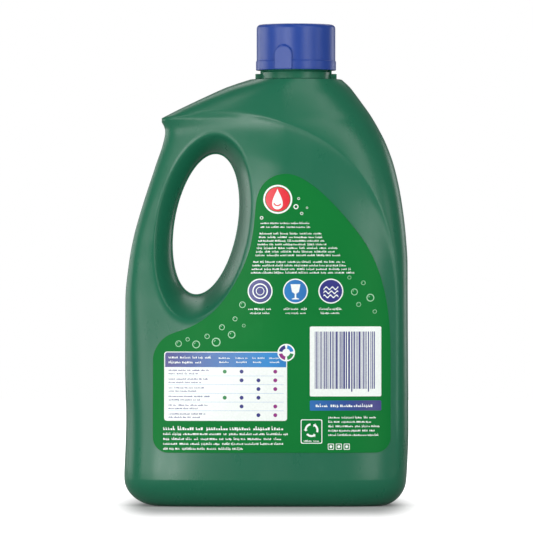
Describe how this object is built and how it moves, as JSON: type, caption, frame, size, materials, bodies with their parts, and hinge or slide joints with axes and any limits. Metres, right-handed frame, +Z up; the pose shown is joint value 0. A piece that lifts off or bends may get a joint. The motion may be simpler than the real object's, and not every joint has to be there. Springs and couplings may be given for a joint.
{
  "type": "gel bottle",
  "caption": "Blow-moulded dishwasher gel bottle with a through handle, recessed panels, a label on one broad face and a squeeze-and-turn screw cap.",
  "frame": {"origin": "middle of the bottle's footprint, on the floor plane", "axes": "+Z up, +X away from the handle, labelled face towards -Y"},
  "size_m": [0.1703, 0.0748, 0.2883],
  "materials": {
    "bottle_hdpe": "satin",
    "label_film": "satin",
    "gel": "wet gel",
    "cap_pp": "satin",
    "liner_foam": "matt foam"
  },
  "bodies": {
    "container": {"bottle": "bottle_hdpe", "back_label": "label_film", "gel": "gel"},
    "lift": {"cap_liner": "liner_foam"},
    "closure": {"cap": "cap_pp"}
  },
  "joints": [
    {"name": "cap_lift", "type": "slide", "parent": "container", "child": "lift", "axis": [0, 0, 1], "range_m": [0, 0.00526]},
    {"name": "cap_turn", "type": "hinge", "parent": "lift", "child": "closure", "pos_m": [0.018, 0, 0.275], "axis": [0, 0, 1], "range_deg": [0, 450]}
  ],
  "couplings": [
    {"joint": "cap_lift", "follows": "cap_turn", "m_per_rad": 0.00066845}
  ]
}
